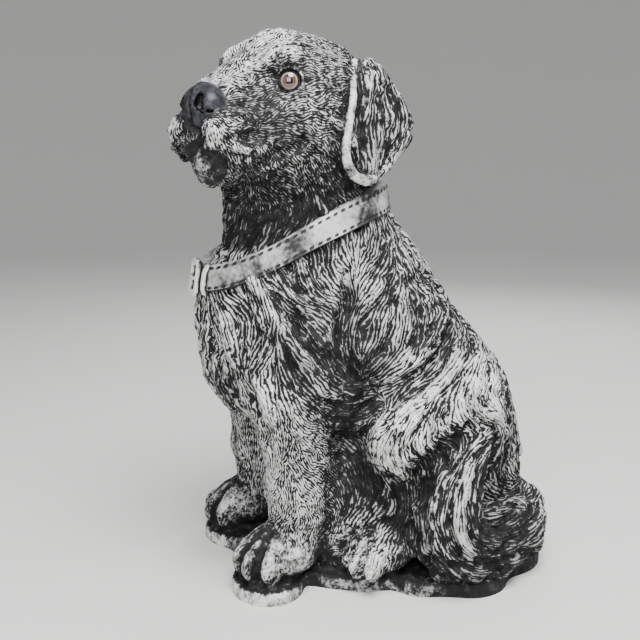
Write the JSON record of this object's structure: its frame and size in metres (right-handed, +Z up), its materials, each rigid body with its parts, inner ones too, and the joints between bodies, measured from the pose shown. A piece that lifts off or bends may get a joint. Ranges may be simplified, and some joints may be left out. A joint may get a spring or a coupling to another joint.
{
  "type": "concrete dog statue",
  "caption": "Garden statue of a sitting long-coated puppy with a buckled collar and glossy set-in eyes, cast in one piece with its thin base slab.",
  "frame": {"origin": "on the ground, at the middle of the statue's bounding box seen from above", "axes": "+Z up, the dog sits facing -Y, and its own left side is +X"},
  "size_m": [0.2734, 0.3492, 0.48],
  "materials": {
    "dry_brushed_concrete": "matt black paint, dry-brushed with off-white on every raised hair",
    "brown_eye_resin": "glossy"
  },
  "bodies": {
    "root": {"puppy_casting": "dry_brushed_concrete", "left_eye": "brown_eye_resin", "right_eye": "brown_eye_resin"}
  },
  "joints": []
}
